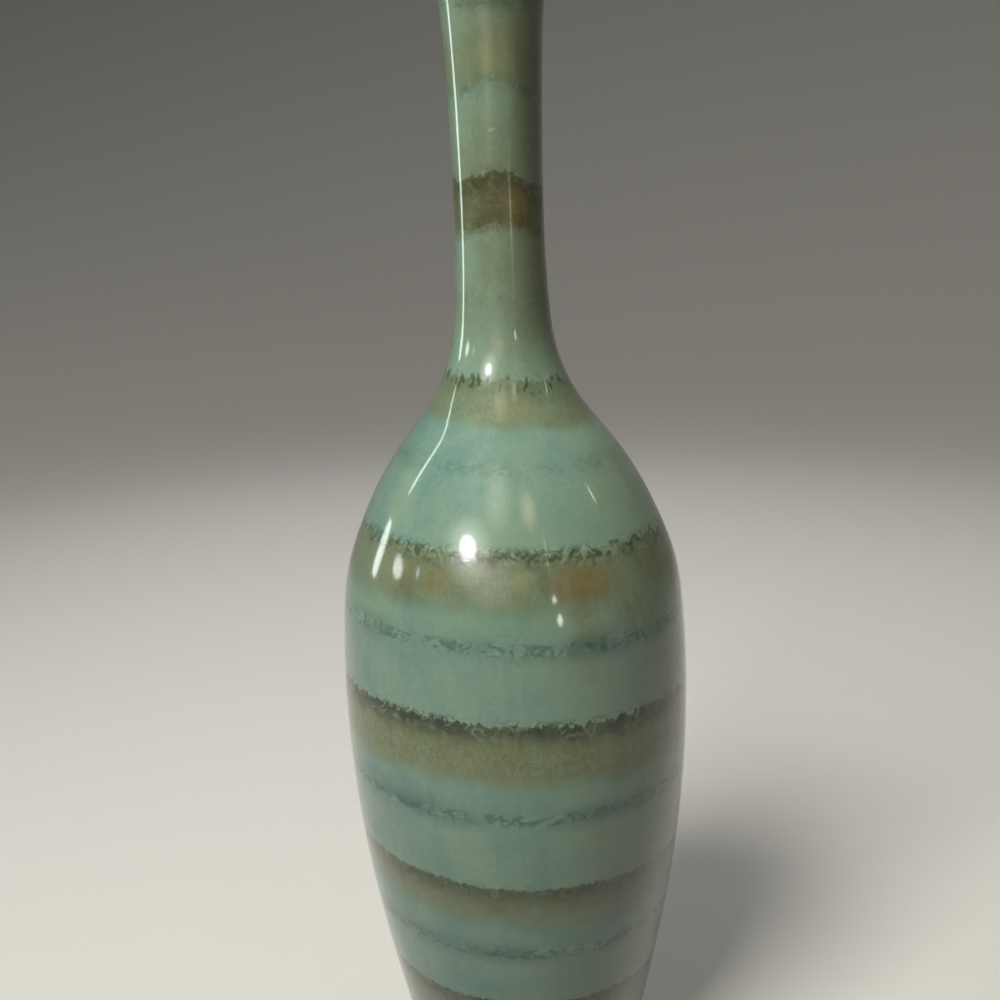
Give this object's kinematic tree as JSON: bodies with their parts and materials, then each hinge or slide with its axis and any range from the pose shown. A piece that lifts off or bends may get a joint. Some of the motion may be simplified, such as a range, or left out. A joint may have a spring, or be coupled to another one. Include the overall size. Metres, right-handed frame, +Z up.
{
  "type": "bottle vase",
  "caption": "Tall stoneware bottle vase with banded reactive glaze, a slender flared neck, sloping shoulders, a full belly and a tapered foot standing on felt pads.",
  "frame": {"origin": "centre of the surface that the vase stands on, on the vase's axis, level with the undersides of the felt pads", "axes": "+Z up along the vase's axis of revolution; +X and +Y are level, and the felt pads lie midway between them"},
  "size_m": [0.1783, 0.1784, 0.61],
  "materials": {
    "stoneware": "fired bare stoneware, ground at the foot",
    "banded_glaze": "glossy celadon reactive glaze with olive and rust bands",
    "liner_glaze": "thin glossy green liner glaze",
    "felt": "dark brown pressed felt"
  },
  "bodies": {
    "root": {"stoneware_body": "stoneware", "outer_glaze": "banded_glaze", "liner_glaze": "liner_glaze", "felt_pad_1": "felt", "felt_pad_2": "felt", "felt_pad_3": "felt", "felt_pad_4": "felt"}
  },
  "joints": []
}
